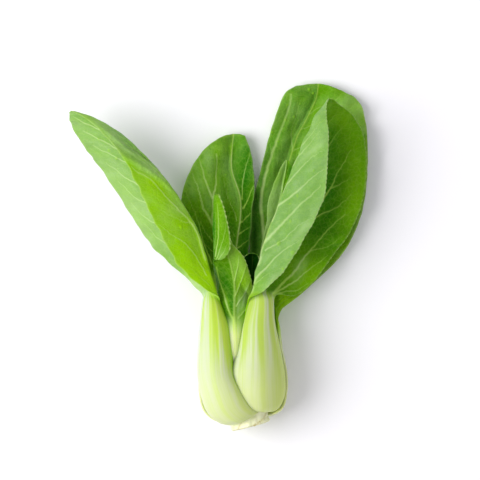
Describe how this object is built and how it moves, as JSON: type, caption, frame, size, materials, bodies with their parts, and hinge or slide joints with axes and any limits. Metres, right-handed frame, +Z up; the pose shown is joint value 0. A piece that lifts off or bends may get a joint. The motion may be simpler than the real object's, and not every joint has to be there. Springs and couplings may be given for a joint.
{
  "type": "bok choy head",
  "caption": "Whole green bok choy lying on its back: a cut stump, thick pale stalks that swell into a bulb, and waved leaf blades fanned out around young leaves in the throat.",
  "frame": {"origin": "on the resting plane, in the middle of the flat spot under the left back stalk's bulb", "axes": "+Z up from the surface, +Y from the cut stump to the leaf tips, +X to the right seen from above with the leaves away"},
  "size_m": [0.1547, 0.1798, 0.0439],
  "materials": {
    "stump_flesh": "cream-white cut flesh with fine tan lines, matte",
    "front_left_leaf": "bright yellow-green blade with pale veins, pale streaked stalk, satin wax",
    "front_right_leaf": "bluish and dark green blade with raised pale veins, pale streaked stalk, satin wax",
    "back_right_leaf": "mid green quilted blade with a pale midrib, satin wax",
    "back_left_leaf": "dark green quilted blade with a pale midrib, satin wax",
    "young_leaf": "light young leaf with a folded flap and toothed rim, satin wax",
    "slender_leaf": "bluish mid green young leaf, satin wax",
    "inner_leaf": "small cupped dark young leaf with a pale rim, satin wax"
  },
  "bodies": {
    "root": {"root_stump": "stump_flesh", "leaf_front_left": "front_left_leaf", "leaf_front_right": "front_right_leaf", "leaf_back_right": "back_right_leaf", "leaf_back_left": "back_left_leaf", "leaf_young_centre": "young_leaf", "leaf_slender": "slender_leaf", "leaf_inner_tiny": "inner_leaf"}
  },
  "joints": []
}
